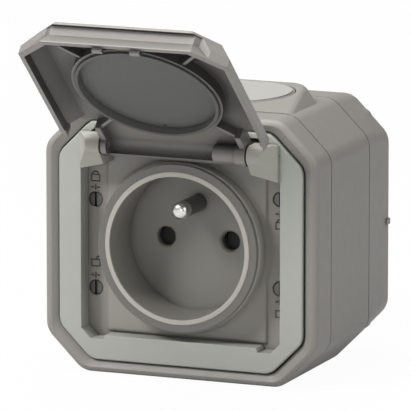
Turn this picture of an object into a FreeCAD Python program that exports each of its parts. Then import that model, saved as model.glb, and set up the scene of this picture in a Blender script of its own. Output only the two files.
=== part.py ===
import FreeCAD, Part
import math
import os
from FreeCAD import Vector

# Surface-mounted weatherproof socket with a hinged lid, open at rest.
# Millimetres. X runs to the right, Y into the wall, Z up. The origin is on the wall face,
# straight behind the centre of the plug well. Depths are counted forwards from the wall.

# Body stack, as depths in front of the wall
baseDepth = 18.7
boxDepth = 29.1
bezelDepth = 10.2
baseBackWall = 2.5
wall = 2.2

# Octagonal outlines, as half sizes with 45 degree corners
bodyHalfWidth = 39.9
bodyHalfHeight = 36.7
bodyCorner = 10.8
bodyCornerRound = 6.0
rearTaperWidth = 1.2
rearTaperHeight = 1.9
rearEdgeRound = 1.2

# Bezel
bezelRidgeInset = 1.9
bezelFlangeDepth = 2.2
bezelFlangeReach = 5.0
bezelMouthRise = 1.3
bezelMouthFlare = 1.85

# Faceplate
plateMarginX = 4.3
plateMarginZ = 3.7
plateCorner = 9.3
plateGap = 0.3
plateThickness = 2.6
plateDrop = 0.1
openingMarginX = 6.5
openingMarginTop = 1.5
openingMarginBottom = 6.9
openingCorner = 2.8
openingTopCorner = 4.4
notchDepth = 1.2
notchWidth = 3.6
curtainWall = 1.4

# Front panel and its collar
panelRecess = 5.4
panelThickness = 2.4
panelReachX = 4.3
panelMarginZ = 1.4
padRise = 0.7
padMarginX = 5.7
collarRadius = 23.55
collarGap = 0.35

# Plug well
wellRadius = 19.75
wellRim = 1.3
rimStep = 0.2
headRadius = 23.2
headThickness = 1.05
headGap = 0.25
wellDepth = 15.3
wellFloor = 2.5
rimAhead = 2.3
holeSpacing = 19.0
holeRadius = 2.65
earthOffset = 10.0
earthRadius = 2.4
earthShank = 2.8
earthLength = 14.2

# Lid, drawn closed and then turned to the angle of rest
lidOpenAngle = 132.6
hingeAhead = 2.9
hingeDrop = 4.24
lidOverlapX = 0.8
lidOverlapBottom = 0.84
lidCornerX = 8.4
lidCornerZ = 6.7
lidStart = 7.3
lidSideHeight = 2.6
lidBevelHeight = 4.7
lidBevelInset = 3.7
lidEndInset = 1.3
lidWall = 1.3
lidGap = 0.2
hingePlay = 0.3
skirtRadius = 3.8
skirtWall = 1.3
barrelRadius = 2.55
barrelRun = 9.6
ringRadius = 20.9
ringWall = 1.0
ringGap = 0.9
ringGussetReach = 7.0
sealThickness = 1.3
sealBead = 0.9
sealDotRadius = 0.45
sealDotInset = 0.8
sealDotSide = 0.8
catchOffset = 5.4
catchWidth = 2.9
catchDrop = 1.0
fingerInset = 1.9
fingerWall = 1.0
fingerRun = -3.6
lipThickness = 0.4
lipSlope = 3.2
skinEdge = 0.9

# Hinge ears and pins
earWidth = 7.3
earInset = 0.3
earRadius = 2.9
earDrop = 7.36
earSlant = 2.2
pinRadius = 1.1
pinBite = 3.4
pinRun = 0.05

# Quarter-turn fasteners
fastenerInset = 2.1
fastenerHigh = 10.4
fastenerLow = -14.1
fastenerHeadRadius = 1.95
fastenerHeadHeight = 1.5
fastenerShaftRadius = 1.2
fastenerLength = 6.0
fastenerFootHalf = 2.4
fastenerPlay = 0.15
slotWidth = 0.7
slotDepth = 0.8

# Mechanism behind the well
coverWall = 1.8
coverFloor = 2.0
coverLength = 22.4
shutterThickness = 1.8
shutterPlay = 0.5
shutterHalfWidth = 13.4
shutterHalfHeight = 3.0
shutterTravel = 6.1
contactBore = 2.45
contactWall = 0.7
contactGap = 0.7
terminalSize = 7.0
terminalDepth = 8.0
terminalScrewRadius = 1.6
springRadius = 1.0
springWire = 0.28
springTurns = 8
springRoom = 5.4
coverScrewX = 11.6
coverScrewDrop = 12.4
coverScrewRadius = 1.25
coverScrewHead = 2.4
coverScrewBite = 1.6
columnRadius = 2.7

# Cable entry on top
bossInsetX = 12.0
bossBehind = 5.8
bossAhead = 0.5
bossRise = 5.3
bossToe = 0.2
bossCorner = 4.5
bossFlank = 4.0
entryHalfWidth = 23.7
entryRim = 3.0
entryShift = 0.35
entryFlat = 0.55
entryWall = 1.7
membraneRise = 0.4
membraneSkin = 1.2
membraneFlange = 1.6

# Screws, seals and wall fixing
pillarInsetX = 10.3
pillarInsetZ = 10.1
pillarRadius = 3.2
pillarBacking = 1.8
boxScrewRadius = 1.6
boxScrewHead = 2.6
boxScrewHeadHeight = 1.4
boxScrewTip = 8.0
wallHoleRadius = 2.3
wallHoleSpacing = 52.0
washerRadius = 4.2
washerThickness = 1.4
seamWidth = 0.4
seamDeep = 0.5
sealInset = 0.9
sealWidth = 1.0
sealGrooveDepth = 0.8
alignRibWidth = 1.6
alignRibProud = 0.7
alignRibLength = 2.4
knockoutRadius = 9.0
knockoutGroove = 1.4

# Worked out from the sizes above
plateHalfWidth = bodyHalfWidth - plateMarginX
plateHalfHeight = bodyHalfHeight - plateMarginZ
openingHalfWidth = plateHalfWidth - openingMarginX
openingTop = plateHalfHeight - openingMarginTop
openingBottom = plateHalfHeight - openingMarginBottom
panelHalfWidth = openingHalfWidth + panelReachX
panelHalfHeight = plateHalfHeight - panelMarginZ
padHalfWidth = openingHalfWidth - padMarginX
hingeHeight = openingTop - hingeDrop
lidHalfWidth = openingHalfWidth + lidOverlapX
earEnd = openingHalfWidth - earInset
earStart = earEnd - earWidth
earLow = hingeHeight - earDrop
pinEnd = earStart + pinBite
hingeHalfWidth = earStart - hingePlay
barrelStart = hingeHalfWidth - barrelRun
fastenerX = openingHalfWidth - fastenerInset
pillarX = bodyHalfWidth - pillarInsetX
pillarZ = bodyHalfHeight - pillarInsetZ
seam = baseDepth
boxFront = baseDepth + boxDepth
bossHalfWidth = bodyHalfWidth - bossInsetX
bossBack = seam + bossBehind
bossFront = boxFront - bossAhead
bossHighZ = bodyHalfHeight + bossRise
bossLowZ = bodyHalfHeight + bossToe
entryDepth = (bossBack + bossFront) / 2
entryHalfDepth = (bossFront - bossBack) / 2 - entryRim
entryLow = bodyHalfHeight - bossRise
entryHigh = bossHighZ + bossRise
bezelFront = boxFront + bezelDepth
plateFront = bezelFront - plateDrop
panelFront = plateFront - panelRecess
panelBack = panelFront - panelThickness
padFront = panelFront + padRise
rimFront = plateFront + rimAhead
floorFront = rimFront - wellDepth
floorBack = floorFront - wellFloor
collarInner = wellRadius + wellRim + collarGap
headFront = rimFront - rimStep
collarFront = headFront - headThickness - headGap
hingeDepth = plateFront + hingeAhead
lidRim = plateFront + lidGap
lidShoulder = lidRim + lidSideHeight
lidFace = lidShoulder + lidBevelHeight
lidFloor = lidFace - lidWall
lidEnd = -openingBottom - lidOverlapBottom
lidHead = hingeHeight - lidStart
flangeFront = boxFront + bezelFlangeDepth
shutterFront = floorBack - shutterPlay
shutterBack = shutterFront - shutterThickness
coverBack = floorBack - coverLength
contactFront = shutterBack - contactGap
springSeat = -shutterHalfHeight - shutterTravel - springRoom


def at(x, depth, z):
    return Vector(x, -depth, z)


def forwards(length):
    return Vector(0, -length, 0)


def octagon_points(halfWidth, halfHeight, corner):
    a, b, c = halfWidth, halfHeight, corner
    upper = [(a, b - c), (a - c, b), (c - a, b), (-a, b - c)]
    return upper + [(-x, -z) for x, z in upper]


def rounded_wire(points, depth, radius):
    """A closed outline at one depth, with every corner rounded as far as its two sides allow."""
    edges = []
    starts = []
    ends = []
    count = len(points)
    for i in range(count):
        here = at(points[i][0], depth, points[i][1])
        before = at(points[i - 1][0], depth, points[i - 1][1])
        after = at(points[(i + 1) % count][0], depth, points[(i + 1) % count][1])
        back = (before - here).normalize()
        ahead = (after - here).normalize()
        half = back.getAngle(ahead) / 2
        room = 0.45 * min((before - here).Length, (after - here).Length)
        reach = min(radius / math.tan(half), room)
        bend = reach * math.tan(half)
        starts.append(here + back * reach)
        ends.append(here + ahead * reach)
        middle = (back + ahead).normalize()
        centre = here + middle * (bend / math.sin(half))
        edges.append(Part.Arc(starts[i], centre - middle * bend, ends[i]).toShape())
    ordered = []
    for i in range(count):
        ordered.append(edges[i])
        ordered.append(Part.makeLine(ends[i], starts[(i + 1) % count]))
    return Part.Wire(ordered)


def sharp_wire(points, depth):
    corners = [at(x, depth, z) for x, z in points]
    return Part.makePolygon(corners + corners[:1])


def prism(wire, length):
    return Part.Face(wire).extrude(forwards(length))


def octagon(halfWidth, halfHeight, corner, radius, low, high):
    return prism(rounded_wire(octagon_points(halfWidth, halfHeight, corner), low, radius), high - low)


def tapered(first, firstDepth, second, secondDepth, radius):
    wires = [rounded_wire(first, firstDepth, radius), rounded_wire(second, secondDepth, radius)]
    return Part.makeLoft(wires, True, True)


def rod(radius, x, z, low, high):
    return Part.makeCylinder(radius, high - low, at(x, low, z), Vector(0, -1, 0))


def tube(outer, inner, x, z, low, high):
    return rod(outer, x, z, low, high).cut(rod(inner, x, z, low, high))


def block(x0, x1, low, high, z0, z1):
    return Part.makeBox(x1 - x0, high - low, z1 - z0, Vector(x0, -high, z0))


def across(radius, x0, x1, depth, z):
    return Part.makeCylinder(radius, x1 - x0, at(x0, depth, z), Vector(1, 0, 0))


def joined(shapes):
    result = shapes[0]
    if len(shapes) > 1:
        result = result.fuse(shapes[1:])
    return result.removeSplitter()


def four_pillars(radius, low, high, shift=0.0):
    spots = [(sx * (pillarX + shift), sz * (pillarZ + shift)) for sx in (-1, 1) for sz in (-1, 1)]
    return [rod(radius, x, z, low, high) for x, z in spots]


def backed_pillars(low, high):
    # The second row of rods ties each pillar to the corner behind it
    return four_pillars(pillarRadius, low, high) + four_pillars(pillarRadius * 0.8, low, high, pillarBacking)


def body_points(inset=0.0):
    # Insetting a 45 degree corner keeps its own width even all round
    corner = bodyCorner - inset * (2 - math.sqrt(2))
    return octagon_points(bodyHalfWidth - inset, bodyHalfHeight - inset, corner)


def rear_points(inset=0.0):
    corner = bodyCorner - inset * (2 - math.sqrt(2))
    width = bodyHalfWidth - rearTaperWidth - inset
    return octagon_points(width, bodyHalfHeight - rearTaperHeight - inset, corner)


def seal_groove(depth, low, high):
    # A square ring that runs round the middle of the joint between two shells
    outer = rounded_wire(body_points(sealInset), depth, bodyCornerRound)
    inner = rounded_wire(body_points(sealInset + sealWidth), depth, bodyCornerRound)
    ring = prism(outer, high - low).cut(prism(inner, high - low))
    return ring.translated(forwards(low))


def rear_base():
    shell = tapered(rear_points(), 0, body_points(), seam, bodyCornerRound)
    rim = [e for e in shell.Edges if all(abs(v.Y) < 1e-4 for v in e.Vertexes)]
    shell = shell.makeFillet(rearEdgeRound, rim)
    hollow = tapered(rear_points(wall), baseBackWall, body_points(wall), seam + 1.0, bodyCornerRound - wall)
    ribs = []
    for side in (-1, 1):
        x0 = side * (bodyHalfWidth - rearTaperWidth)
        reach = (x0 - side * wall / 2, x0 + side * alignRibProud)
        ribs.append(block(min(reach), max(reach), rearEdgeRound, rearEdgeRound + alignRibLength,
                          -alignRibWidth / 2, alignRibWidth / 2))
    shell = joined([shell.cut(hollow)] + ribs + backed_pillars(baseBackWall / 2, seam))
    for bore in four_pillars(boxScrewRadius, boxScrewTip - 0.5, seam + 1.0):
        shell = shell.cut(bore)
    for side in (-1, 1):
        shell = shell.cut(rod(wallHoleRadius, side * wallHoleSpacing / 2, 0, -1, baseBackWall + 1))
    ring = tube(knockoutRadius, knockoutRadius - knockoutGroove, 0, 0, baseBackWall / 2, baseBackWall + 1)
    shell = shell.cut(ring)
    return shell.cut(seal_groove(0, seam - sealGrooveDepth, seam + 1))


def wall_washers():
    top = baseBackWall + washerThickness
    rings = [tube(washerRadius, wallHoleRadius, side * wallHoleSpacing / 2, 0, baseBackWall, top)
             for side in (-1, 1)]
    return Part.makeCompound(rings)


def seam_line(depth):
    # A narrow shadow groove round the outside where two sections meet
    outer = prism(rounded_wire(body_points(-4), depth, bodyCornerRound), seamWidth)
    inner = rounded_wire(body_points(seamDeep), depth - 1, bodyCornerRound - seamDeep)
    return outer.cut(prism(inner, seamWidth + 2))


def shell_seal(depth):
    return seal_groove(0, depth - sealGrooveDepth, depth)


def oval(halfWidth, halfDepth, low, high):
    """A standing plug in the outline of the cable entry, which is straighter towards the wall."""
    depth = entryDepth - entryShift * halfDepth
    flat = entryFlat * halfWidth
    front = Part.Ellipse(at(0, depth, low), halfWidth, (1 + entryShift) * halfDepth)
    rear = halfWidth - flat, (1 - entryShift) * halfDepth
    right = Part.ArcOfEllipse(Part.Ellipse(at(flat, depth, low), *rear), 0, math.pi / 2)
    left = Part.ArcOfEllipse(Part.Ellipse(at(-flat, depth, low), *rear), math.pi / 2, math.pi)
    back = Part.LineSegment(at(flat, depth - rear[1], low), at(-flat, depth - rear[1], low))
    arcs = [right, back, left, Part.ArcOfEllipse(front, math.pi, 2 * math.pi)]
    return Part.Face(Part.Wire([a.toShape() for a in arcs])).extrude(Vector(0, 0, high - low))


def under_slope(raise_by):
    """Everything below the sloping top of the cable entry, shifted upwards by a set amount."""
    slope = (bossHighZ - bossLowZ) / (bossFront - bossBack)
    front, back = bossFront + 5, bossBack - 5
    high = bossHighZ + slope * (bossBack - back) + raise_by
    low = bossHighZ - slope * (front - bossBack) + raise_by
    points = [(back, 0), (back, high), (front, low), (front, 0)]
    side = Part.makePolygon([at(-60, d, z) for d, z in points + points[:1]])
    return Part.Face(side).extrude(Vector(120, 0, 0))


def entry_boss():
    base = bodyHalfHeight - wall
    top = bossHighZ + 1
    lean = bossFlank / bossRise
    wide, narrow = bossHalfWidth + lean * wall, bossHalfWidth - lean * (bossRise + 1)
    corners = [Vector(-wide, -bossBack, base), Vector(wide, -bossBack, base),
               Vector(narrow, -bossBack, top), Vector(-narrow, -bossBack, top)]
    blank = Part.Face(Part.makePolygon(corners + corners[:1])).extrude(Vector(0, bossBack - bossFront, 0))
    upright = [e for e in blank.Edges
               if abs(e.Vertexes[0].Z - e.Vertexes[1].Z) > 1 and e.Vertexes[0].Y > -bossBack - 1]
    boss = blank.makeFillet(bossCorner, upright).common(under_slope(0))
    crown = [e for e in boss.Edges if min(v.Z for v in e.Vertexes) > base + 1
             and max(v.Y for v in e.Vertexes) > -bossFront + 0.5]
    return boss.makeFillet(2.2, crown)


def box_body():
    shell = prism(rounded_wire(body_points(), seam, bodyCornerRound), boxDepth)
    shell = joined([shell, entry_boss()])
    hollow = prism(rounded_wire(body_points(wall), seam - 1, bodyCornerRound - wall), boxDepth + 2)
    shell = joined([shell.cut(hollow)] + backed_pillars(seam, boxFront))
    for bore in four_pillars(boxScrewRadius, seam - 1, boxFront + 1):
        shell = shell.cut(bore)
    inner = oval(entryHalfWidth - entryWall, entryHalfDepth - entryWall, entryLow - wall, entryHigh)
    shell = shell.cut(inner)
    seat = oval(entryHalfWidth, entryHalfDepth, entryLow, entryHigh).cut(under_slope(-membraneFlange))
    shell = shell.cut(seat)
    shell = shell.cut(seam_line(seam)).cut(seam_line(boxFront - seamWidth))
    return shell.cut(seal_groove(0, boxFront - sealGrooveDepth, boxFront + 1))


def cable_membrane():
    flange = oval(entryHalfWidth - 0.3, entryHalfDepth - 0.3, entryLow, entryHigh)
    top = flange.common(under_slope(0)).cut(under_slope(-membraneFlange))
    dome = oval(entryHalfWidth - 0.8, entryHalfDepth - 0.8, entryLow, entryHigh)
    dome = dome.common(under_slope(membraneRise)).cut(under_slope(-membraneFlange))
    fit = entryWall + 0.1
    plug = oval(entryHalfWidth - fit, entryHalfDepth - fit, bodyHalfHeight - wall, entryHigh)
    plug = plug.common(under_slope(-membraneFlange / 2))
    hollow = oval(entryHalfWidth - entryWall - 1.3, entryHalfDepth - entryWall - 1.3, entryLow, entryHigh)
    hollow = hollow.common(under_slope(membraneRise - membraneSkin))
    return joined([top, dome, plug]).cut(hollow)


def front_bezel():
    inset = bezelRidgeInset
    blank = prism(rounded_wire(body_points(), boxFront, bodyCornerRound), bezelDepth)
    front = [e for e in blank.Edges if all(abs(v.Y + bezelFront) < 1e-4 for v in e.Vertexes)]
    blank = blank.makeFillet(inset, front)
    mouthWidth = plateHalfWidth + plateGap
    mouthHeight = plateHalfHeight + plateGap
    mouth = octagon_points(mouthWidth, mouthHeight, plateCorner)
    wide = octagon_points(mouthWidth + bezelMouthFlare, mouthHeight + bezelMouthFlare, plateCorner)
    funnel = tapered(mouth, bezelFront - bezelMouthRise, wide, bezelFront + 0.01, bodyCornerRound - 1)
    ring = blank.cut(prism(rounded_wire(mouth, flangeFront, bodyCornerRound - 1), bezelDepth)).cut(funnel)
    reachWidth = mouthWidth - bezelFlangeReach
    reachHeight = mouthHeight - bezelFlangeReach
    window = octagon(reachWidth, reachHeight, plateCorner, 3.0, boxFront - 1, flangeFront + 1)
    corners = four_pillars(pillarRadius + 1.4, boxFront, flangeFront)
    ring = joined([ring.cut(window)] + corners)
    for bore in four_pillars(boxScrewRadius + 0.2, boxFront - 1, flangeFront + 1):
        ring = ring.cut(bore)
    for seat in four_pillars(boxScrewHead + 0.1, flangeFront - boxScrewHeadHeight, flangeFront + 1):
        ring = ring.cut(seat)
    return ring


def box_screws():
    screws = []
    heads = four_pillars(boxScrewHead, flangeFront - boxScrewHeadHeight, flangeFront)
    shafts = four_pillars(boxScrewRadius - 0.05, boxScrewTip, flangeFront - boxScrewHeadHeight + 0.2)
    spots = [(sx * pillarX, sz * pillarZ) for sx in (-1, 1) for sz in (-1, 1)]
    for head, shaft, (x, z) in zip(heads, shafts, spots):
        slot = block(x - 0.4, x + 0.4, flangeFront - 0.7, flangeFront + 1, z - 5, z + 5)
        screws.append(joined([head, shaft]).cut(slot))
    return Part.makeCompound(screws)


def opening_points(grow=0.0):
    a = openingHalfWidth + grow
    top = openingTop + grow
    low = -openingBottom - grow
    step = low - notchDepth
    c = openingCorner
    inner = a - c - notchWidth
    head = openingTopCorner
    right = [(a - head, top), (a, top - head), (a, step + c), (a - c, step),
             (inner, step), (inner - 0.5, low)]
    return right + [(-x, z) for x, z in reversed(right)]


def ear(side):
    x0, x1 = earStart, earEnd
    knuckle = across(earRadius, x0, x1, hingeDepth, hingeHeight)
    cheek = [(hingeDepth, hingeHeight + earRadius), (plateFront - 1.5, hingeHeight + earRadius),
             (plateFront - 1.5, earLow), (plateFront + 0.6, earLow),
             (hingeDepth + earRadius * 0.94, hingeHeight - 1.0)]
    face = Part.Face(Part.makePolygon([at(x0, d, z) for d, z in cheek + cheek[:1]]))
    body = joined([knuckle, face.extrude(Vector(x1 - x0, 0, 0))])
    # The outer end slopes back towards the plate
    reach = hingeDepth + earRadius
    low = plateFront + 1.4
    slope = [(x0 + 3.4, reach + 0.5), (x1 + 1, reach + 0.5), (x1 + 1, low), (x1, low)]
    cutter = Part.makePolygon([Vector(x, -d, 10) for x, d in slope + slope[:1]])
    body = body.cut(Part.Face(cutter).extrude(Vector(0, 0, 40)))
    foot = openingHalfWidth + openingTop - openingTopCorner - hingeHeight - earRadius
    base = block(x0, foot + 0.5, padFront + 0.1, plateFront, earLow, hingeHeight + earRadius)
    outer = block(foot, openingHalfWidth + 0.5, padFront + 0.1, plateFront, earLow, hingeHeight - 0.4)
    base = joined([base, outer])
    body = joined([body, base])
    slant = [Vector(x0 - 1, 0, earLow - 1), Vector(x1, 0, earLow - 1), Vector(x1, 0, earLow),
             Vector(x0 - 1, 0, earLow + earSlant)]
    slant = Part.Face(Part.makePolygon(slant + slant[:1])).extrude(Vector(0, -80, 0))
    body = body.cut(slant).cut(across(pinRadius, x0 - 1, pinEnd + 0.1, hingeDepth, hingeHeight))
    return body if side > 0 else body.mirror(Vector(0, 0, 0), Vector(1, 0, 0))


def faceplate():
    plate = octagon(plateHalfWidth, plateHalfHeight, plateCorner, bodyCornerRound - 1,
                    plateFront - plateThickness, plateFront)
    front = [e for e in plate.Edges if all(abs(v.Y + plateFront) < 1e-4 for v in e.Vertexes)]
    plate = plate.makeFillet(0.5, front)
    curtain = prism(sharp_wire(opening_points(curtainWall), panelFront), panelRecess - 0.3)
    plate = joined([plate, curtain])
    plate = plate.cut(prism(sharp_wire(opening_points(), panelFront - 1), panelRecess + 3))
    return joined([plate, ear(1), ear(-1)])


def front_panel():
    plate = octagon(panelHalfWidth, panelHalfHeight, plateCorner, 3.0, panelBack, panelFront)
    reach = openingTop - 1.6
    pad = block(-padHalfWidth, padHalfWidth, panelFront - 0.5, padFront, -openingBottom + 0.6, reach)
    upright = [e for e in pad.Edges if abs(e.Vertexes[0].Z - e.Vertexes[1].Z) > 1
               and e.Vertexes[0].Y < -panelFront]
    pad = pad.makeFillet(padRise * 0.9, upright)
    collar = rod(collarRadius, 0, 0, panelBack, collarFront)
    crown = [e for e in collar.Edges if e.Vertexes[0].Y < -collarFront + 0.01 and e.Length > 20]
    collar = collar.makeFillet(0.3, crown[:1])
    foot = Part.makeCone(collarRadius + 1.6, collarRadius, 1.8, at(0, panelFront - 0.1, 0), Vector(0, -1, 0))
    plate = joined([plate, pad, collar, foot]).cut(rod(collarInner, 0, 0, panelBack - 1, collarFront + 1))
    for x, z in fastener_spots():
        plate = plate.cut(rod(fastenerShaftRadius + fastenerPlay, x, z, panelBack - 1, panelFront + 1))
        head = panelFront - fastenerHeadHeight
        plate = plate.cut(rod(fastenerHeadRadius + fastenerPlay, x, z, head, panelFront + 1))
    return plate


def collar_seal():
    return tube(collarInner, wellRadius + wellRim, 0, 0, padFront, collarFront - 0.6)


def socket_body():
    outer = wellRadius + wellRim
    cup = rod(outer, 0, 0, floorBack, rimFront)
    crown = [e for e in cup.Edges if e.Vertexes[0].Y < -rimFront + 0.01 and e.Length > 20]
    cup = cup.makeFillet(0.15, crown[:1])
    # The head stands over the collar, and a flange behind the panel holds the well in place
    head = rod(headRadius, 0, 0, headFront - headThickness, headFront)
    edge = [e for e in head.Edges if e.Vertexes[0].Y < -headFront + 0.01 and e.Length > 20]
    head = head.makeFillet(0.3, edge[:1])
    flange = rod(collarRadius + 3, 0, 0, panelBack - 1.6, panelBack)
    cup = joined([cup, head, flange])
    cup = cup.cut(rod(wellRadius, 0, 0, floorFront, rimFront + 1))
    for side in (-1, 1):
        x = side * holeSpacing / 2
        cup = cup.cut(rod(holeRadius, x, 0, floorBack - 1, floorFront + 1))
        lead = Part.makeCone(holeRadius, holeRadius + 0.5, 0.5, at(x, floorFront - 0.5, 0), Vector(0, -1, 0))
        cup = cup.cut(lead)
        bite = rod(coverScrewRadius + 0.02, side * coverScrewX, -coverScrewDrop, floorBack - 1,
                   floorBack + coverScrewBite)
        cup = cup.cut(bite)
    return cup.cut(rod(earthShank, 0, earthOffset, floorBack - 1, floorFront + 1))


def earth_pin():
    tip = floorFront + earthLength
    shaft = rod(earthRadius, 0, earthOffset, floorFront - 0.5, tip)
    end = [e for e in shaft.Edges if e.Vertexes[0].Y < -tip + 0.01 and e.Length > 5]
    shaft = shaft.makeFillet(earthRadius * 0.8, end[:1])
    foot = rod(earthRadius + 1.4, 0, earthOffset, floorBack - 1.2, floorBack)
    return joined([shaft, rod(earthShank, 0, earthOffset, floorBack, floorFront), foot])


def earth_strap():
    foot = floorBack - 1.2
    top = block(-3.2, 3.2, foot - 0.8, foot, earthOffset - 3.2, earthOffset + 5.0)
    leg = block(-3.2, 3.2, coverBack + coverFloor, foot, earthOffset + 4.2, earthOffset + 5.0)
    back = coverBack + coverFloor
    clamp = block(-3.5, 3.5, back, back + terminalDepth, earthOffset - 2.0, earthOffset + 4.4)
    bar = joined([top, leg, clamp])
    return bar.cut(rod(terminalScrewRadius, 0, earthOffset + 1.2, back - 1, back + 5.5))


def plug_contact(side):
    x = side * holeSpacing / 2
    back = coverBack + coverFloor
    half = terminalSize / 2
    sleeve = tube(contactBore + contactWall, contactBore, x, 0, back + terminalDepth, contactFront)
    slit = block(x - 0.35, x + 0.35, back + terminalDepth + 2, contactFront + 1, -9, 9)
    clamp = block(x - half, x + half, back, back + terminalDepth, -half, half)
    clamp = clamp.cut(rod(terminalScrewRadius, x, 0, back - 1, back + 5.5))
    return joined([sleeve.cut(slit), clamp])


def terminal_screws():
    back = coverBack + coverFloor
    spots = [(-holeSpacing / 2, 0), (holeSpacing / 2, 0), (0, earthOffset + 1.2)]
    screws = []
    for x, z in spots:
        screw = rod(terminalScrewRadius - 0.02, x, z, back + 0.6, back + 5.5)
        screws.append(screw.cut(block(x - 0.4, x + 0.4, back, back + 1.4, z - 3, z + 3)))
    return Part.makeCompound(screws)


def mechanism_cover():
    outer = wellRadius + wellRim
    cup = tube(outer, outer - coverWall, 0, 0, coverBack, floorBack)
    floor = rod(outer, 0, 0, coverBack, coverBack + coverFloor)
    parts = [cup, floor]
    for side in (-1, 1):
        parts.append(rod(columnRadius, side * coverScrewX, -coverScrewDrop, coverBack, floorBack))
    # A shelf in front of the lower wall carries the foot of the shutter's spring
    seat = springSeat
    parts.append(block(-4.0, 4.0, shutterBack - 2.4, floorBack, seat - 2.0, seat))
    parts.append(block(-4.0, 4.0, shutterBack - 2.4, floorBack, -(outer - coverWall / 2), seat - 1.0))
    cup = joined(parts)
    for side in (-1, 1):
        x, z = side * coverScrewX, -coverScrewDrop
        cup = cup.cut(rod(coverScrewRadius + 0.1, x, z, coverBack - 1, floorBack + 1))
        cup = cup.cut(rod(2.2, side * holeSpacing / 2, 0, coverBack - 1, coverBack + coverFloor + 1))
    return cup.cut(rod(2.2, 0, earthOffset + 1.2, coverBack - 1, coverBack + coverFloor + 1))


def cover_screws():
    screws = []
    for side in (-1, 1):
        x, z = side * coverScrewX, -coverScrewDrop
        shaft = rod(coverScrewRadius, x, z, coverBack - 0.5, floorBack + coverScrewBite)
        head = rod(coverScrewHead, x, z, coverBack - 1.6, coverBack)
        slot = block(x - 0.4, x + 0.4, coverBack - 3, coverBack - 0.9, z - 5, z + 5)
        screws.append(joined([shaft, head]).cut(slot))
    return Part.makeCompound(screws)


def shutter():
    half, rise = shutterHalfWidth, shutterHalfHeight
    plate = block(-half, half, shutterBack, shutterFront, -rise, rise)
    tab = block(-3.0, 3.0, shutterBack, shutterFront, -rise - 0.6, -rise + 1)
    peg = Part.makeCylinder(0.55, 2.4, at(0, (shutterBack + shutterFront) / 2, -rise - 2.4), Vector(0, 0, 1))
    ramps = []
    for side in (-1, 1):
        x = side * holeSpacing / 2
        wedge = [(shutterFront + 0.01, rise), (shutterFront + 0.01, -rise), (shutterBack + 0.6, rise)]
        face = Part.Face(Part.makePolygon([at(x - 2.2, d, z) for d, z in wedge + wedge[:1]]))
        ramps.append(face.extrude(Vector(4.4, 0, 0)))
    plate = joined([plate, tab, peg])
    for ramp in ramps:
        plate = plate.cut(ramp)
    return plate


def shutter_spring():
    top = -shutterHalfHeight - 0.65 - springWire
    bottom = springSeat + springWire + 0.05
    height = top - bottom
    pitch = height / springTurns
    helix = Part.makeHelix(pitch, height, springRadius)
    start = Part.Wire([Part.Circle(Vector(springRadius, 0, 0), Vector(0, 1, 0), springWire).toShape()])
    coil = Part.Wire(helix).makePipeShell([start], True, True)
    coil = coil.copy()
    coil.translate(at(0, (shutterBack + shutterFront) / 2, bottom))
    return coil


def fastener_spots():
    return [(-fastenerX, fastenerHigh), (-fastenerX, fastenerLow),
            (fastenerX, -fastenerHigh), (fastenerX, -fastenerLow)]


def fastener(x, z):
    top = panelFront - 0.1
    under = panelFront - fastenerHeadHeight + 0.05
    head = rod(fastenerHeadRadius, x, z, under, top)
    rim = [e for e in head.Edges if e.Vertexes[0].Y < -top + 0.01 and e.Length > 5]
    head = head.makeFillet(0.2, rim[:1])
    tip = panelBack - fastenerLength
    shaft = rod(fastenerShaftRadius, x, z, tip, under + 0.2)
    foot = block(x - 0.8, x + 0.8, tip, tip + 1.4, z - fastenerFootHalf, z + fastenerFootHalf)
    slot = block(x - slotWidth / 2, x + slotWidth / 2, top - slotDepth, top + 1, z - 4, z + 4)
    return joined([head, shaft, foot]).cut(slot)


def lid_points(inset, endInset, wallInset=0.0):
    a = lidHalfWidth - inset - wallInset
    low = lidEnd + endInset + wallInset
    cx, cz = lidCornerX - inset * 0.5, lidCornerZ - inset * 0.25
    head = lidHead - wallInset
    h = hingeHalfWidth - inset * 0.4
    return [(a, head - 2.0), (a - 1.4, head), (h, head), (-h, head), (1.4 - a, head), (-a, head - 2.0),
            (-a, low + cz), (cx - a, low), (a - cx, low), (a, low + cz)]


def lid_blank(wallInset, low, high):
    base = lid_points(0, 0, wallInset)
    crown = lid_points(lidBevelInset, lidEndInset, wallInset)
    lower = prism(sharp_wire(base, low), lidShoulder - low)
    upper = Part.makeLoft([sharp_wire(base, lidShoulder), sharp_wire(crown, high)], True, True)
    return joined([lower, upper])


def hinge_skirt():
    # The skin runs on over the hinge and curls round it
    outer = across(skirtRadius, -hingeHalfWidth, hingeHalfWidth, hingeDepth, hingeHeight)
    inner = across(skirtRadius - skirtWall, -hingeHalfWidth - 1, hingeHalfWidth + 1, hingeDepth, hingeHeight)
    half = block(-40, 40, hingeDepth - 1.2, hingeDepth + 10, hingeHeight, hingeHeight + 10)
    curl = outer.cut(inner).common(half)
    top = hingeDepth + skirtRadius
    under = top - skirtWall
    bridge = [(under, hingeHeight + 0.01), (top, hingeHeight + 0.01), (lidFace, lidHead),
              (lidFace, lidHead - 1.2), (lidFloor, lidHead - 1.2), (lidFloor, lidHead)]
    w = hingeHalfWidth
    face = Part.Face(Part.makePolygon([at(-w, d, z) for d, z in bridge + bridge[:1]]))
    return joined([curl, face.extrude(Vector(2 * w, 0, 0))])


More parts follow.
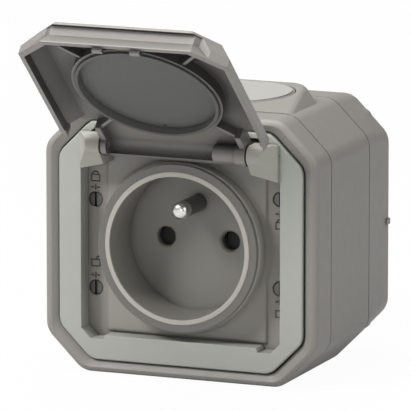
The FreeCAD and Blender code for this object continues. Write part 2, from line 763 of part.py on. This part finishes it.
def hinge_arms():
    arms = []
    for x0, x1 in ((barrelStart, hingeHalfWidth - 0.1), (-hingeHalfWidth + 0.1, -hingeHalfWidth + 1.7)):
        arms.append(across(barrelRadius, x0, x1, hingeDepth, hingeHeight))
        web = block(x0, x1, hingeDepth, hingeDepth + skirtRadius - 0.3, hingeHeight - 1.4, hingeHeight + 1.4)
        arms.append(web)
    step = barrelStart + 6.4
    arms.append(across(barrelRadius + 0.5, step, hingeHalfWidth - 0.1, hingeDepth, hingeHeight))
    side = 0.1 - hingeHalfWidth
    arms.append(block(side, side + 1.6, hingeDepth, lidFloor + 0.2, lidHead - 1, hingeHeight))
    other = hingeHalfWidth - 1.7
    arms.append(block(other, hingeHalfWidth - 0.1, hingeDepth, lidFloor + 0.2, lidHead - 1, hingeHeight))
    return arms


def sealing_ring():
    foot = lidFace - lidWall - 0.2
    top = rimFront + ringGap
    ring = tube(ringRadius, ringRadius - ringWall, 0, 0, top, foot + 0.4)
    arms = []
    for angle in (45, 135, 225, 315):
        c, s = math.cos(math.radians(angle)), math.sin(math.radians(angle))
        web = block(ringRadius - 0.4, ringRadius + ringGussetReach, top + 0.5, foot + 0.4, -0.45, 0.45)
        web.rotate(Vector(0, 0, 0), Vector(0, -1, 0), -angle if s else 0)
        arms.append(web)
    return ring, arms


def lid_closed():
    shell = lid_blank(0, lidRim, lidFace)
    hollow = lid_blank(lidWall, lidRim - 1, lidFloor)
    # Between the hinge arms the hollow runs on under the hinge skirt
    clear = lidHalfWidth - lidWall - 0.2
    doorway = block(-clear, clear, lidRim - 1, lidFloor, lidHead - lidWall - 1, lidHead + 1)
    outerPlan = lid_blank(0, lidRim, lidFace)
    shell = shell.cut(hollow).cut(doorway)
    ring, gussets = sealing_ring()
    gussets = [g.common(outerPlan) for g in gussets]
    shell = joined([shell, hinge_skirt(), ring] + gussets + hinge_arms())
    # At the free end the wall stands in under the skin, and its lip slopes out to the rim
    low, high = lidRim + lipThickness, lidFace - skinEdge
    inset = lid_points(fingerInset, fingerInset)
    slope = Part.makeLoft([sharp_wire(lid_points(0, 0), low), sharp_wire(inset, low + lipSlope)], True, True)
    core = joined([slope, prism(sharp_wire(inset, low + lipSlope), high - low - lipSlope)])
    reach = lidEnd + lidCornerZ + fingerRun
    around = block(-lidHalfWidth - 1, lidHalfWidth + 1, low, high, lidEnd - 1, reach)
    deep = fingerInset + fingerWall
    inner = prism(sharp_wire(lid_points(deep, deep), lidRim - 1), lidFace)
    thin = sharp_wire(lid_points(fingerWall, fingerWall), lidRim - 0.01)
    under = Part.makeLoft([thin, sharp_wire(lid_points(deep, deep), low + lipSlope)], True, True)
    behind = block(-lidHalfWidth - 1, lidHalfWidth + 1, low - 1, high + 1, lidEnd - 1, reach + lidWall)
    lining = core.common(behind).cut(inner).cut(under)
    band = block(-lidHalfWidth - 1, lidHalfWidth + 1, lidRim, low + 0.01, lidEnd - 1, reach + lidWall)
    lip = outerPlan.common(band).cut(inner).cut(under)
    shell = joined([shell.cut(around), lining.common(outerPlan), lip])
    catches = []
    for side in (-1, 1):
        x = side * catchOffset
        catches.append(block(x - catchWidth / 2, x + catchWidth / 2, lidRim - catchDrop, lidRim + 1,
                             -openingBottom + 0.35, -openingBottom + 1.5))
    shell = joined([shell] + catches)
    reach = across(pinRadius + pinRun, -hingeHalfWidth - 1, hingeHalfWidth + 1, hingeDepth, hingeHeight)
    return shell.cut(reach)


def opened(shape):
    turned = shape.copy()
    turned.rotate(at(0, hingeDepth, hingeHeight), Vector(1, 0, 0), -lidOpenAngle)
    return turned


def lid():
    return opened(lid_closed())


def lid_seal():
    foot = lidFloor
    radius = ringRadius - ringWall
    disc = rod(radius, 0, 0, foot - sealThickness, foot)
    bead = tube(radius, radius - sealBead, 0, 0, rimFront + 0.3, foot)
    dotHeight = radius - sealBead - sealDotInset
    dot = rod(sealDotRadius, -sealDotSide, dotHeight, foot - sealThickness - 1, foot - sealThickness / 2)
    return opened(joined([disc, bead]).cut(dot))


def hinge_pin(side):
    pin = across(pinRadius, barrelStart + 1.0, pinEnd, hingeDepth, hingeHeight)
    if side > 0:
        return pin
    short = across(pinRadius, hingeHalfWidth - 1.6, pinEnd, hingeDepth, hingeHeight)
    return short.mirror(Vector(0, 0, 0), Vector(1, 0, 0))


def nodes():
    parts = {
        "rear_base": rear_base(),
        "wall_washers": wall_washers(),
        "base_seal": shell_seal(seam),
        "box_body": box_body(),
        "cable_membrane": cable_membrane(),
        "bezel_seal": shell_seal(boxFront),
        "front_bezel": front_bezel(),
        "box_screws": box_screws(),
        "faceplate": faceplate(),
        "front_panel": front_panel(),
        "collar_seal": collar_seal(),
        "socket_body": socket_body(),
        "earth_pin": earth_pin(),
        "earth_strap": earth_strap(),
        "plug_contact_left": plug_contact(-1),
        "plug_contact_right": plug_contact(1),
        "terminal_screws": terminal_screws(),
        "mechanism_cover": mechanism_cover(),
        "cover_screws": cover_screws(),
        "shutter": shutter(),
        "shutter_spring": shutter_spring(),
        "lid": lid(),
        "lid_seal": lid_seal(),
        "hinge_pin_left": hinge_pin(-1),
        "hinge_pin_right": hinge_pin(1),
    }
    names = ("fastener_upper_left", "fastener_lower_left", "fastener_lower_right", "fastener_upper_right")
    for name, (x, z) in zip(names, fastener_spots()):
        parts[name] = fastener(x, z)
    return parts


os.makedirs("parts", exist_ok=True)
for name, shape in nodes().items():
    print(name, "solids", len(shape.Solids), "valid", shape.isValid(), "volume", round(shape.Volume, 1))
    shape.exportStep("parts/" + name + ".step")
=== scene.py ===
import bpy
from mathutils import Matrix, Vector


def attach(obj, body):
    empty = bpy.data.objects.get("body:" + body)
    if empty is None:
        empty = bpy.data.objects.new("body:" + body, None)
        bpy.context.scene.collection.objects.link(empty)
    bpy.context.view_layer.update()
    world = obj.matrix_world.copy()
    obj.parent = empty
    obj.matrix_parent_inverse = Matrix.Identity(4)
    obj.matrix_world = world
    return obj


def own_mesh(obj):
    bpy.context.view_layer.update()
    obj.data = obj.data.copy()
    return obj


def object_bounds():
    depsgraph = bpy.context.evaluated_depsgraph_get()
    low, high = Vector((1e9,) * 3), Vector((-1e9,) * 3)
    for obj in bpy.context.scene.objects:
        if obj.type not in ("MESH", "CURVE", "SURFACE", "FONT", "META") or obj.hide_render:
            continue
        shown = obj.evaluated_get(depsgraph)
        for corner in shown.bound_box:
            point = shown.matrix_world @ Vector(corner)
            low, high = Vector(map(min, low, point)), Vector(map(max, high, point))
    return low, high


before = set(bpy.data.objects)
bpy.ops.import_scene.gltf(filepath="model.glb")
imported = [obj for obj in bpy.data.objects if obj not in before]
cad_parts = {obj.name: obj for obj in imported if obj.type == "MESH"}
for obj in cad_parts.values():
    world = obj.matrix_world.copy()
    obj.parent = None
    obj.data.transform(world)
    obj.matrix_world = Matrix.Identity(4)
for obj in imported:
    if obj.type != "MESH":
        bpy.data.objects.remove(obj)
cadBox = [list(corner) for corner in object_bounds()]
import math
import bpy
from mathutils import Vector

print("frame loaded:", len(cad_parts), "nodes")

# Camera: a long lens from the upper right, as the photograph was taken
cameraView = {
    "place": (0.66986, -1.67966, 0.35212),
    "yaw": 22.216,
    "pitch": 10.985,
    "lens": 579.8,
    "sensor": 36.0,
}


def makeCamera(s):
    data = bpy.data.cameras.new("camera")
    data.lens = s["lens"]
    data.sensor_width = s["sensor"]
    data.clip_start = 0.1
    data.clip_end = 20.0
    camera = bpy.data.objects.new("camera", data)
    camera.location = s["place"]
    camera.rotation_euler = (math.radians(90 - s["pitch"]), 0.0, math.radians(s["yaw"]))
    bpy.context.collection.objects.link(camera)
    bpy.context.scene.camera = camera


makeCamera(cameraView)


# Small helpers for node trees
def addNode(tree, kind, **values):
    node = tree.nodes.new(kind)
    for name, value in values.items():
        setattr(node, name, value)
    return node


def fill(tree, node, inputs):
    for name, value in inputs.items():
        socket = node.inputs[name]
        if isinstance(value, bpy.types.NodeSocket):
            tree.links.new(value, socket)
        else:
            socket.default_value = value
    return node


def maths(tree, operation, a, b=0.0, clamp=False):
    node = addNode(tree, "ShaderNodeMath", operation=operation, use_clamp=clamp)
    return fill(tree, node, {0: a, 1: b}).outputs[0]


def scaled(tree, vector, level):
    node = addNode(tree, "ShaderNodeVectorMath", operation="SCALE")
    return fill(tree, node, {0: vector, "Scale": level}).outputs["Vector"]


def dotted(tree, a, b):
    node = addNode(tree, "ShaderNodeVectorMath", operation="DOT_PRODUCT")
    return fill(tree, node, {0: a, 1: b}).outputs["Value"]


def objectPlace(tree):
    return addNode(tree, "ShaderNodeTexCoord").outputs["Object"]


def objectAxes(tree):
    return fill(tree, addNode(tree, "ShaderNodeSeparateXYZ"), {0: objectPlace(tree)}).outputs


def noise(tree, place, scale, detail):
    node = addNode(tree, "ShaderNodeTexNoise")
    return fill(tree, node, {"Vector": place, "Scale": scale, "Detail": detail}).outputs["Fac"]


def seenPlainly(tree, shine):
    # 1 for camera rays, and a share of the reflected ones
    path = addNode(tree, "ShaderNodeLightPath").outputs
    mirrored = maths(tree, "MULTIPLY", path["Is Glossy Ray"], shine)
    return maths(tree, "MAXIMUM", path["Is Camera Ray"], mirrored)


# Painted shade: ambient occlusion, raised to a power, darkens hollows and corners
def openness(tree, reach, power):
    node = addNode(tree, "ShaderNodeAmbientOcclusion", samples=8)
    return maths(tree, "POWER", fill(tree, node, {"Distance": reach}).outputs["AO"], power)


def softEdge(tree, radius):
    return fill(tree, addNode(tree, "ShaderNodeBevel", samples=6), {"Radius": radius}).outputs[0]


def newGroup(name, inputs, outputs):
    tree = bpy.data.node_groups.new(name, "ShaderNodeTree")
    for label, kind, value in inputs:
        socket = tree.interface.new_socket(label, in_out="INPUT", socket_type=kind)
        socket.default_value = value
    for label, kind in outputs:
        tree.interface.new_socket(label, in_out="OUTPUT", socket_type=kind)
    return tree, tree.nodes.new("NodeGroupInput").outputs, tree.nodes.new("NodeGroupOutput")


skinWear = {"slow": 42.0, "scuff": 310.0, "edgeGain": 3.0, "edgeFloor": 0.3, "speck": 0.8,
            "roughChange": 0.16, "bumpHeight": 0.00003}
metalWearAndShade = {"stretch": (1.0, 6.0, 1.0), "rings": 900.0, "reach": 0.001, "power": 1.6, "tone": 0.12,
             "low": 0.9, "change": 0.2, "roughChange": 0.15, "round": 0.00015, "bumpHeight": 0.00002}


def mouldedGroup(s):
    # Moulded plastic: slow change of shade, fine spark-eroded grain, softened and slightly paler edges
    tree, given, result = newGroup("mouldedSkin", [
        ("Colour", "NodeSocketColor", (0.3, 0.3, 0.3, 1)),
        ("Shade Change", "NodeSocketFloat", 0.04),
        ("Grain Scale", "NodeSocketFloat", 2600.0),
        ("Grain Depth", "NodeSocketFloat", 0.25),
        ("Edge Round", "NodeSocketFloat", 0.0003),
        ("Edge Light", "NodeSocketFloat", 0.25),
        ("Painted Shade Reach", "NodeSocketFloat", 0.0008),
        ("Painted Shade Tone", "NodeSocketFloat", 0.35),
        ("Painted Shade Power", "NodeSocketFloat", 1.5),
        ("Roughness", "NodeSocketFloat", 0.5),
    ], [("Colour", "NodeSocketColor"), ("Roughness", "NodeSocketFloat"), ("Normal", "NodeSocketVector")])
    place = objectPlace(tree)
    slow = noise(tree, place, s["slow"], 3.0)
    grain = noise(tree, place, given["Grain Scale"], 2.0)
    scuff = noise(tree, place, s["scuff"], 4.0)
    edge = softEdge(tree, given["Edge Round"])
    turn = dotted(tree, edge, addNode(tree, "ShaderNodeNewGeometry").outputs["Normal"])
    bend = maths(tree, "MULTIPLY", maths(tree, "SUBTRACT", 1.0, turn), s["edgeGain"], True)
    broken = maths(tree, "MULTIPLY", bend, maths(tree, "ADD", scuff, s["edgeFloor"]))
    lift = maths(tree, "MULTIPLY", broken, given["Edge Light"])
    wave = maths(tree, "MULTIPLY", maths(tree, "SUBTRACT", slow, 0.5), given["Shade Change"])
    speck = maths(tree, "MULTIPLY", maths(tree, "SUBTRACT", grain, 0.5),
                  maths(tree, "MULTIPLY", given["Shade Change"], s["speck"]))
    level = maths(tree, "ADD", maths(tree, "ADD", maths(tree, "ADD", 1.0, lift), wave), speck)
    # Painted shade: grooves, seams, inside corners and recesses are darkened by ambient occlusion
    clear = openness(tree, given["Painted Shade Reach"], given["Painted Shade Power"])
    kept = maths(tree, "ADD", given["Painted Shade Tone"],
                 maths(tree, "MULTIPLY", clear, maths(tree, "SUBTRACT", 1.0, given["Painted Shade Tone"])))
    mixed = scaled(tree, given["Colour"], maths(tree, "MULTIPLY", level, kept))
    rough = maths(tree, "ADD", given["Roughness"],
                  maths(tree, "MULTIPLY", maths(tree, "SUBTRACT", scuff, 0.5), s["roughChange"]))
    bump = fill(tree, addNode(tree, "ShaderNodeBump"), {
        "Strength": given["Grain Depth"], "Distance": s["bumpHeight"], "Height": grain, "Normal": edge})
    fill(tree, result, {"Colour": mixed, "Roughness": rough, "Normal": bump.outputs[0]})
    return tree


def metalGroup(s):
    # Turned metal: fine rings of shade with a few scratches, and painted shade that darkens slots and corners
    tree, given, result = newGroup("turnedMetal", [
        ("Colour", "NodeSocketColor", (0.6, 0.6, 0.6, 1)),
        ("Roughness", "NodeSocketFloat", 0.3),
        ("Scratch", "NodeSocketFloat", 0.3),
    ], [("Colour", "NodeSocketColor"), ("Roughness", "NodeSocketFloat"), ("Normal", "NodeSocketVector")])
    squeeze = addNode(tree, "ShaderNodeMapping")
    fill(tree, squeeze, {"Vector": objectPlace(tree), "Scale": s["stretch"]})
    rings = noise(tree, squeeze.outputs[0], s["rings"], 3.0)
    clear = openness(tree, s["reach"], s["power"])
    paintedShade = maths(tree, "ADD", s["tone"], maths(tree, "MULTIPLY", clear, 1.0 - s["tone"]))
    shade = maths(tree, "MULTIPLY", paintedShade,
                  maths(tree, "ADD", s["low"], maths(tree, "MULTIPLY", rings, s["change"])))
    rough = maths(tree, "ADD", given["Roughness"], maths(tree, "MULTIPLY", rings, s["roughChange"]))
    edge = softEdge(tree, s["round"])
    bump = fill(tree, addNode(tree, "ShaderNodeBump"), {
        "Strength": given["Scratch"], "Distance": s["bumpHeight"], "Height": rings, "Normal": edge})
    fill(tree, result, {"Colour": scaled(tree, given["Colour"], shade), "Roughness": rough,
                        "Normal": bump.outputs[0]})
    return tree


plasticSkin = mouldedGroup(skinWear)
metalSkin = metalGroup(metalWearAndShade)


def linear(red, green, blue):
    return tuple(((v / 255 + 0.055) / 1.055) ** 2.4 for v in (red, green, blue)) + (1.0,)


# Finishes, with colours as read on a lit face; reach and tone set the painted shade in crevices, and the lid
# gets more painted shade beyond its skirt
finishes = {
    "shellGrey": {"colour": linear(137, 134, 129), "rough": 0.48, "grain": 0.30, "round": 0.0004},
    "lidGrey": {"colour": linear(137, 134, 129), "rough": 0.32, "grain": 0.30, "round": 0.0004,
                "reach": 0.020, "tone": 0.22,
                "deep": {"run": (0.0, -0.736, 0.677), "from": 0.0712, "soft": 0.012, "more": 4.5}},
    "plateGrey": {"colour": linear(163, 165, 158), "rough": 0.50, "grain": 0.25, "round": 0.0003,
                  "warm": {"depth": 0.05815, "tint": (1.0, 0.955, 0.93)}},
    "panelGrey": {"colour": linear(149, 146, 140), "rough": 0.50, "grain": 0.25, "round": 0.0011,
                  "reach": 0.0018, "tone": 0.6},
    "wellGrey": {"colour": linear(134, 132, 126), "rough": 0.42, "grain": 0.15, "round": 0.0002,
                 "reach": 0.002, "tone": 0.6,
                 "rim": {"depth": 0.05955, "radius": 0.02108, "lines": 21000.0, "turned": 0.05,
                         "lift": 0.72, "fall": 0.37}},
    "membranePale": {"colour": linear(155, 154, 149), "rough": 0.65, "grain": 0.35, "round": 0.0005},
    "sealGrey": {"colour": linear(96, 96, 94), "rough": 0.62, "grain": 0.35, "round": 0.0004},
    "sealDark": {"colour": linear(58, 58, 58), "rough": 0.7, "grain": 0.3, "round": 0.0003},
    "markGrey": {"colour": linear(88, 86, 82), "rough": 0.6, "grain": 0.2, "round": 0.0001},
    # Painted shade: the shutter behind the holes is made near black so that the holes read dark
    "shutterPaintedDark": {"colour": linear(14, 12, 12), "rough": 0.5, "grain": 0.2, "round": 0.0002},
}
metals = {
    "pinMetal": {"colour": linear(226, 226, 222), "rough": 0.24, "scratch": 0.05,
                 "sleeve": {"depth": 0.0550, "soft": 0.0006, "tone": 0.28}},
    "stripMetal": {"colour": linear(214, 214, 208), "rough": 0.22, "scratch": 0.25},
    "slotMetal": {"colour": linear(112, 112, 109), "rough": 0.36, "scratch": 0.4},
    "screwMetal": {"colour": linear(196, 196, 192), "rough": 0.30, "scratch": 0.4},
    "springMetal": {"colour": linear(170, 170, 168), "rough": 0.28, "scratch": 0.2},
}


def skinMaterial(name, group, inputs):
    material = bpy.data.materials.new(name)
    material.use_nodes = True
    tree = material.node_tree
    skin = fill(tree, addNode(tree, "ShaderNodeGroup", node_tree=group), inputs)
    shader = fill(tree, tree.nodes["Principled BSDF"], {
        "Base Color": skin.outputs["Colour"], "Roughness": skin.outputs["Roughness"],
        "Normal": skin.outputs["Normal"]})
    return material, tree, skin, shader


def paintShadeBeyond(tree, skin, s):
    # Painted shade: the crevice darkening inside the lid is made stronger beyond the skirt, towards the free
    # end
    along = dotted(tree, objectPlace(tree), s["run"])
    beyond = maths(tree, "DIVIDE", maths(tree, "SUBTRACT", along, s["from"]), s["soft"], True)
    plain = skin.inputs["Painted Shade Power"].default_value
    fill(tree, skin, {"Painted Shade Power": maths(tree, "ADD", plain, maths(tree, "MULTIPLY", beyond, s["more"]))})


def warmAhead(tree, colour, s):
    # The hinge ears are a warmer grey than the plate that carries them
    ahead = maths(tree, "LESS_THAN", objectAxes(tree)[1], -s["depth"])
    tint = fill(tree, addNode(tree, "ShaderNodeVectorMath", operation="MULTIPLY"), {0: colour, 1: s["tint"]})
    blend = addNode(tree, "ShaderNodeMix", data_type="RGBA")
    return fill(tree, blend, {"Factor": ahead, "A": colour, "B": tint.outputs["Vector"]}).outputs["Result"]


def paleRim(tree, colour, s):
    # The narrow flat rim round the mouth is paler than the ring it stands on, and finely turned
    x, y, z = objectAxes(tree)
    square = maths(tree, "ADD", maths(tree, "MULTIPLY", x, x), maths(tree, "MULTIPLY", z, z))
    radius = maths(tree, "SQRT", square)
    ahead = maths(tree, "LESS_THAN", y, -s["depth"])
    near = maths(tree, "LESS_THAN", radius, s["radius"])
    rings = maths(tree, "SINE", maths(tree, "MULTIPLY", radius, s["lines"]))
    turned = maths(tree, "MULTIPLY", maths(tree, "MULTIPLY", rings, s["turned"]), ahead)
    inner = maths(tree, "MULTIPLY", maths(tree, "MULTIPLY", ahead, near), s["lift"])
    outer = maths(tree, "MULTIPLY", maths(tree, "SUBTRACT", 1.0, near), s["fall"])
    level = maths(tree, "SUBTRACT", maths(tree, "ADD", maths(tree, "ADD", 1.0, turned), inner), outer)
    return scaled(tree, colour, level)


def brightTip(tree, colour, s):
    # The shaft is darkened to a lower tone, and only the rounded tip keeps the full metal colour
    depth = maths(tree, "MULTIPLY", objectAxes(tree)[1], -1.0)
    ahead = maths(tree, "DIVIDE", maths(tree, "SUBTRACT", depth, s["depth"]), s["soft"], True)
    level = maths(tree, "ADD", s["tone"], maths(tree, "MULTIPLY", ahead, 1.0 - s["tone"]))
    return scaled(tree, colour, level)


def plasticMaterial(name, s):
    inputs = {"Colour": s["colour"], "Roughness": s["rough"],
              "Grain Depth": s["grain"], "Edge Round": s["round"]}
    if "reach" in s:
        inputs.update({"Painted Shade Reach": s["reach"], "Painted Shade Tone": s["tone"]})
    material, tree, skin, shader = skinMaterial(name, plasticSkin, inputs)
    fill(tree, shader, {"Specular IOR Level": 0.4})
    if "deep" in s:
        paintShadeBeyond(tree, skin, s["deep"])
    if "warm" in s:
        fill(tree, shader, {"Base Color": warmAhead(tree, skin.outputs["Colour"], s["warm"])})
    if "rim" in s:
        fill(tree, shader, {"Base Color": paleRim(tree, skin.outputs["Colour"], s["rim"])})
    return material


def metalMaterial(name, s):
    inputs = {"Colour": s["colour"], "Roughness": s["rough"], "Scratch": s["scratch"]}
    material, tree, skin, shader = skinMaterial(name, metalSkin, inputs)
    fill(tree, shader, {"Metallic": 1.0})
    if "sleeve" in s:
        fill(tree, shader, {"Base Color": brightTip(tree, skin.outputs["Colour"], s["sleeve"])})
    return material


looks = {name: plasticMaterial(name, s) for name, s in finishes.items()}
looks.update({name: metalMaterial(name, s) for name, s in metals.items()})
print("finishes made:", len(looks))

# Which finish each moulded or metal part wears
dress = {
    "shellGrey": ["rear_base", "box_body", "front_bezel"],
    "lidGrey": ["lid"],
    "plateGrey": ["faceplate"],
    "panelGrey": ["front_panel"],
    "wellGrey": ["socket_body", "mechanism_cover"],
    "membranePale": ["cable_membrane"],
    "sealGrey": ["lid_seal"],
    "sealDark": ["base_seal", "bezel_seal", "collar_seal", "wall_washers"],
    "shutterPaintedDark": ["shutter"],
    "pinMetal": ["earth_pin"],
    "stripMetal": ["earth_strap", "plug_contact_left", "plug_contact_right"],
    "screwMetal": ["box_screws", "terminal_screws", "cover_screws", "hinge_pin_left", "hinge_pin_right"],
    "slotMetal": ["fastener_upper_left", "fastener_lower_left",
                  "fastener_lower_right", "fastener_upper_right"],
    "springMetal": ["shutter_spring"],
}


mergeReach = 0.000004
smoothBelow = 28


def cleanEdgesTree():
    # Joins the loose triangles and smooths curved faces, and leaves edges above the angle sharp
    tree = bpy.data.node_groups.new("cleanEdges", "GeometryNodeTree")
    tree.interface.new_socket("Geometry", in_out="INPUT", socket_type="NodeSocketGeometry")
    limit = tree.interface.new_socket("Angle", in_out="INPUT", socket_type="NodeSocketFloat")
    limit.default_value = math.radians(smoothBelow)
    tree.interface.new_socket("Geometry", in_out="OUTPUT", socket_type="NodeSocketGeometry")
    given = tree.nodes.new("NodeGroupInput").outputs
    result = tree.nodes.new("NodeGroupOutput")
    merge = fill(tree, addNode(tree, "GeometryNodeMergeByDistance"), {
        "Geometry": given["Geometry"], "Distance": mergeReach})
    angle = addNode(tree, "GeometryNodeInputMeshEdgeAngle").outputs["Unsigned Angle"]
    soft = addNode(tree, "FunctionNodeCompare", data_type="FLOAT", operation="LESS_THAN")
    tree.links.new(angle, soft.inputs[0])
    tree.links.new(given["Angle"], soft.inputs[1])
    faces = fill(tree, addNode(tree, "GeometryNodeSetShadeSmooth", domain="FACE"),
                 {"Geometry": merge.outputs[0], "Shade Smooth": True})
    edges = fill(tree, addNode(tree, "GeometryNodeSetShadeSmooth", domain="EDGE"),
                 {"Geometry": faces.outputs[0], "Shade Smooth": soft.outputs[0]})
    tree.links.new(edges.outputs[0], result.inputs[0])
    return tree


edgeTree = cleanEdgesTree()
for look, names in dress.items():
    for name in names:
        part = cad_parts[name]
        part.data.materials.clear()
        part.data.materials.append(looks[look])
        part.modifiers.new("cleanEdges", "NODES").node_group = edgeTree
print("parts dressed:", sum(len(names) for names in dress.values()))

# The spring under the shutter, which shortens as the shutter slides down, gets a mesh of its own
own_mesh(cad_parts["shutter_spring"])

# Moulded signs beside the quarter-turn fasteners: padlocks and a tick over each slot
signs = {
    "depth": 0.0525,
    "across": 0.027,
    "closed": [(-1, 0.0163), (1, 0.0069)],
    "open": [(-1, -0.0073), (1, -0.0174)],
    "ticks": [(-1, 0.0137), (-1, -0.0107), (1, 0.0101), (1, -0.0140)],
    "stroke": 0.00022,
    "lock": {"Width": 0.0024, "Height": 0.0018, "Bow Radius": 0.0009},
    "swing": 0.0010,
    "tick": {"Width": 0.0024, "Height": 0.0015, "Gap": 0.0005},
}


def signTree(name, inputs, drawStrokes):
    # Strokes drawn flat, given a round section, stood upright and set on every point that comes in
    tree = bpy.data.node_groups.new(name, "GeometryNodeTree")
    tree.interface.new_socket("Geometry", in_out="INPUT", socket_type="NodeSocketGeometry")
    for label in inputs + ["Stroke"]:
        tree.interface.new_socket(label, in_out="INPUT", socket_type="NodeSocketFloat")
    tree.interface.new_socket("Geometry", in_out="OUTPUT", socket_type="NodeSocketGeometry")
    given = tree.nodes.new("NodeGroupInput").outputs
    result = tree.nodes.new("NodeGroupOutput")
    section = fill(tree, addNode(tree, "GeometryNodeCurvePrimitiveCircle"), {
        "Resolution": 8, "Radius": given["Stroke"]})
    join = addNode(tree, "GeometryNodeJoinGeometry")
    for stroke in drawStrokes(tree, given):
        tree.links.new(stroke, join.inputs[0])
    solid = fill(tree, addNode(tree, "GeometryNodeCurveToMesh"), {
        "Curve": join.outputs[0], "Profile Curve": section.outputs["Curve"], "Fill Caps": True})
    upright = fill(tree, addNode(tree, "GeometryNodeTransform"), {
        "Geometry": solid.outputs[0], "Rotation": (math.radians(90), 0.0, 0.0)})
    placed = fill(tree, addNode(tree, "GeometryNodeInstanceOnPoints"), {
        "Points": given["Geometry"], "Instance": upright.outputs[0]})
    real = fill(tree, addNode(tree, "GeometryNodeRealizeInstances"), {"Geometry": placed.outputs[0]})
    coated = fill(tree, addNode(tree, "GeometryNodeSetMaterial"), {
        "Geometry": real.outputs[0], "Material": looks["markGrey"]})
    tree.links.new(coated.outputs[0], result.inputs[0])
    return tree


def offset(tree, x=0.0, y=0.0):
    return fill(tree, addNode(tree, "ShaderNodeCombineXYZ"), {"X": x, "Y": y}).outputs[0]


def lockStrokes(tree, given):
    body = fill(tree, addNode(tree, "GeometryNodeCurvePrimitiveQuadrilateral"), {
        "Width": given["Width"], "Height": given["Height"]})
    bow = fill(tree, addNode(tree, "GeometryNodeCurveArc"), {
        "Resolution": 12, "Radius": given["Bow Radius"], "Start Angle": 0.0, "Sweep Angle": math.pi})
    raised = fill(tree, addNode(tree, "GeometryNodeTransform"), {
        "Geometry": bow.outputs["Curve"],
        "Translation": offset(tree, given["Swing"], maths(tree, "MULTIPLY", given["Height"], 0.5))})
    return body.outputs["Curve"], raised.outputs[0]


def tickStrokes(tree, given):
    high = maths(tree, "MULTIPLY", given["Height"], 0.5)
    wide = maths(tree, "MULTIPLY", given["Width"], 0.5)
    ends = [(offset(tree, 0.0, maths(tree, "MULTIPLY", high, -1.0)), offset(tree, 0.0, high))]
    for side in (-1.0, 1.0):
        near = maths(tree, "MULTIPLY", given["Gap"], side)
        ends.append((offset(tree, near), offset(tree, maths(tree, "MULTIPLY", wide, side))))
    lines = [fill(tree, addNode(tree, "GeometryNodeCurvePrimitiveLine"), {"Start": a, "End": b})
             for a, b in ends]
    return [line.outputs["Curve"] for line in lines]


def makeSigns(name, tree, spots, values):
    mesh = bpy.data.meshes.new(name)
    mesh.from_pydata([(side * signs["across"], -signs["depth"], z) for side, z in spots], [], [])
    piece = bpy.data.objects.new(name, mesh)
    bpy.context.collection.objects.link(piece)
    modifier = piece.modifiers.new(name, "NODES")
    modifier.node_group = tree
    for item in tree.interface.items_tree:
        if item.in_out == "INPUT" and item.name in values:
            modifier[item.identifier] = values[item.name]
    bpy.context.view_layer.update()
    ready = piece.evaluated_get(bpy.context.evaluated_depsgraph_get())
    solid = bpy.data.meshes.new_from_object(ready)
    piece.modifiers.clear()
    piece.data = solid
    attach(piece, "housing")


lockTree = signTree("padlockSign", ["Width", "Height", "Bow Radius", "Swing"], lockStrokes)
tickTree = signTree("slotTick", ["Width", "Height", "Gap"], tickStrokes)
lockSizes = dict(signs["lock"], Stroke=signs["stroke"])
makeSigns("closedLocks", lockTree, signs["closed"], dict(lockSizes, Swing=0.0))
makeSigns("openLocks", lockTree, signs["open"], dict(lockSizes, Swing=signs["swing"]))
makeSigns("slotTicks", tickTree, signs["ticks"], dict(signs["tick"], Stroke=signs["stroke"]))
print("panel signs made")

# Pale floor and backdrop, white to the camera but still catching the shadow
floorLook = {"colour": (0.6, 0.6, 0.6, 1), "white": 0.97, "shine": 0.4, "half": 3.0, "drop": 0.0002}


def makeFloor(s):
    mesh = bpy.data.meshes.new("floor")
    half = s["half"]
    z = cadBox[0][2] - s["drop"]
    corners = [(-half, -half, z), (half, -half, z), (half, half, z), (-half, half, z)]
    mesh.from_pydata(corners, [], [(0, 1, 2, 3)])
    floor = bpy.data.objects.new("floor", mesh)
    bpy.context.collection.objects.link(floor)
    material = bpy.data.materials.new("floorPale")
    material.use_nodes = True
    tree = material.node_tree
    shader = tree.nodes["Principled BSDF"]
    fill(tree, shader, {"Base Color": s["colour"], "Roughness": 0.9, "Specular IOR Level": 0.1})
    glow = fill(tree, addNode(tree, "ShaderNodeEmission"), {"Color": (1, 1, 1, 1), "Strength": 1.0})
    share = maths(tree, "MULTIPLY", seenPlainly(tree, s["shine"]), s["white"])
    mix = addNode(tree, "ShaderNodeMixShader")
    fill(tree, mix, {0: share, 1: shader.outputs[0], 2: glow.outputs[0]})
    tree.links.new(mix.outputs[0], tree.nodes["Material Output"].inputs[0])
    mesh.materials.append(material)


makeFloor(floorLook)

# Soft studio light: a key lamp high on the left, a broad one overhead, and weaker fills
# on the right and in front
lamps = [
    {"name": "key", "place": (-0.7, -0.9, 0.95), "size": 0.45, "power": 15.2},
    {"name": "overhead", "place": (-0.15, -0.1, 1.3), "size": 1.1, "power": 19.5},
    {"name": "rightFill", "place": (1.2, -0.5, 0.6), "size": 0.9, "power": 4.2},
    {"name": "frontFill", "place": (0.1, -1.6, 0.22), "size": 0.5, "power": 2.2},
]
lampAim = (0.0, -0.04, 0.01)
worldLook = {"level": 0.11, "shine": 0.25}


def makeLights(lampList, s):
    for lamp in lampList:
        data = bpy.data.lights.new(lamp["name"], "AREA")
        data.shape = "DISK"
        data.size = lamp["size"]
        data.energy = lamp["power"]
        item = bpy.data.objects.new(lamp["name"], data)
        item.location = lamp["place"]
        aim = Vector(lampAim) - Vector(lamp["place"])
        item.rotation_euler = aim.to_track_quat("-Z", "Y").to_euler()
        bpy.context.collection.objects.link(item)
    world = bpy.data.worlds.new("studio")
    bpy.context.scene.world = world
    world.use_nodes = True
    tree = world.node_tree
    back = tree.nodes["Background"]
    level = maths(tree, "MAXIMUM", seenPlainly(tree, s["shine"]), s["level"])
    fill(tree, back, {"Color": (1, 1, 1, 1), "Strength": level})


makeLights(lamps, worldLook)
bpy.context.scene.view_settings.view_transform = "Standard"
print("stage and lights set")
